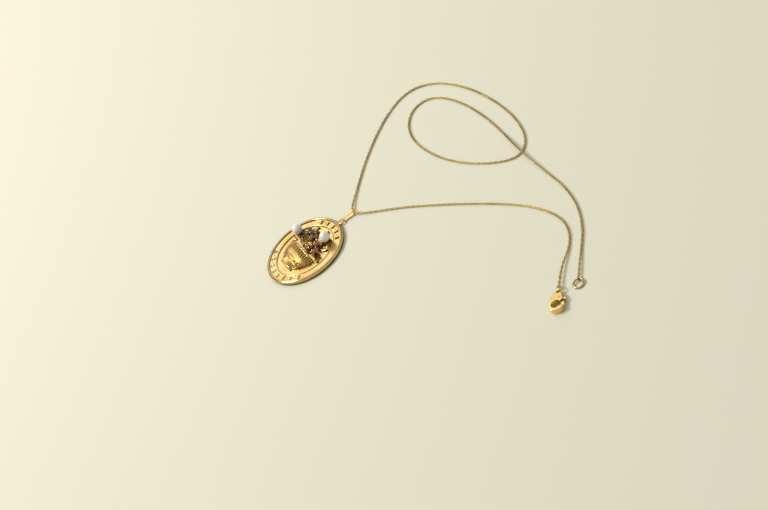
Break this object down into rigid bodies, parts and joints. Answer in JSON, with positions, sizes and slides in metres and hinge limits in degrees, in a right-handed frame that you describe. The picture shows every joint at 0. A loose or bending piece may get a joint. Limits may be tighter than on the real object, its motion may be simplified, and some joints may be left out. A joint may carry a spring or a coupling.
{
  "type": "pendant necklace",
  "caption": "Fine gold cable chain with a lobster clasp and a round medallion: a basket of gem flowers and pearls in half relief, hung on a strip bail.",
  "frame": {"origin": "centre of the medallion's back face, on the surface that the necklace lies on", "axes": "+Z out of the medallion's face, +Y from its centre to the bail, +X to the medallion's right"},
  "size_m": [0.1364, 0.0934, 0.0055],
  "materials": {
    "yellow_gold": "polished 14 carat yellow gold",
    "basket_gold": "cast gold, darker in its hollows",
    "leaf_gold": "textured gold",
    "chain_gold": "polished gold wire",
    "pearl": "white pearl with a soft lustre",
    "ruby": "faceted and polished",
    "sapphire": "faceted and polished",
    "spring_steel": "plain spring wire"
  },
  "bodies": {
    "chain": {"chain": "chain_gold", "clasp_end_ring": "chain_gold", "catch_end_ring": "chain_gold"},
    "bail": {"bail": "yellow_gold"},
    "medallion": {"medallion_plate": "yellow_gold", "rim": "yellow_gold", "field_wire": "yellow_gold", "basket_body": "basket_gold", "basket_foot": "basket_gold", "basket_rope": "basket_gold", "basket_hoops": "basket_gold", "basket_ribs": "basket_gold", "bouquet_plate": "leaf_gold", "leaf_low_left": "leaf_gold", "leaf_high_left": "leaf_gold", "leaf_top": "leaf_gold", "leaf_high_right": "leaf_gold", "leaf_low_right": "leaf_gold", "left_pearl_cup": "yellow_gold", "left_pearl": "pearl", "right_pearl_cup": "yellow_gold", "right_pearl": "pearl", "ruby_setting_1": "yellow_gold", "ruby_1": "ruby", "ruby_setting_2": "yellow_gold", "ruby_2": "ruby", "ruby_setting_3": "yellow_gold", "ruby_3": "ruby", "sapphire_1": "sapphire", "sapphire_2": "sapphire", "sapphire_3": "sapphire", "sapphire_4": "sapphire", "sapphire_5": "sapphire", "blue_flower_setting": "yellow_gold", "blue_flower_bead": "yellow_gold", "bud_setting": "yellow_gold", "bud_sapphire": "sapphire", "gold_blossom": "yellow_gold", "gold_blossom_bead": "yellow_gold", "gold_grains": "yellow_gold", "rim_loop": "yellow_gold"},
    "clasp_ring": {"clasp_ring": "chain_gold"},
    "clasp": {"clasp_body": "yellow_gold", "clasp_rivet": "yellow_gold", "clasp_spring": "spring_steel"},
    "clasp_lever": {"clasp_lever": "yellow_gold"},
    "catch_ring": {"catch_ring": "chain_gold"}
  },
  "joints": [
    {"name": "bail_swing", "type": "hinge", "parent": "chain", "child": "bail", "pos_m": [0, 0.0201, 0.00089], "axis": [-1, 0, 0], "range_deg": [-75, 75]},
    {"name": "medallion_swing", "type": "hinge", "parent": "bail", "child": "medallion", "pos_m": [0, 0.0161, 0.00075], "axis": [-1, 0, 0], "range_deg": [-90, 90]},
    {"name": "clasp_ring_roll", "type": "hinge", "parent": "chain", "child": "clasp_ring", "pos_m": [0.09313, 0.04638, 0.001], "axis": [0.7863, -0.6178, 0], "range_deg": [-5, 80]},
    {"name": "clasp_swing", "type": "hinge", "parent": "clasp_ring", "child": "clasp", "pos_m": [0.09486, 0.04502, 0.001], "axis": [0.3971, 0.5054, 0.766], "range_deg": [-25, 25]},
    {"name": "clasp_lever_open", "type": "hinge", "parent": "clasp", "child": "clasp_lever", "pos_m": [0.09764, 0.04411, 0.001], "axis": [0, 0, -1], "range_deg": [0, 20], "stiffness_Nm_per_rad": 0.003, "springref_deg": -20.05, "deforming": ["clasp_spring"]},
    {"name": "catch_ring_flip", "type": "hinge", "parent": "chain", "child": "catch_ring", "pos_m": [0.09554, 0.05199, 0.00074], "axis": [-0.606, -0.7954, 0], "range_deg": [0, 110]}
  ]
}
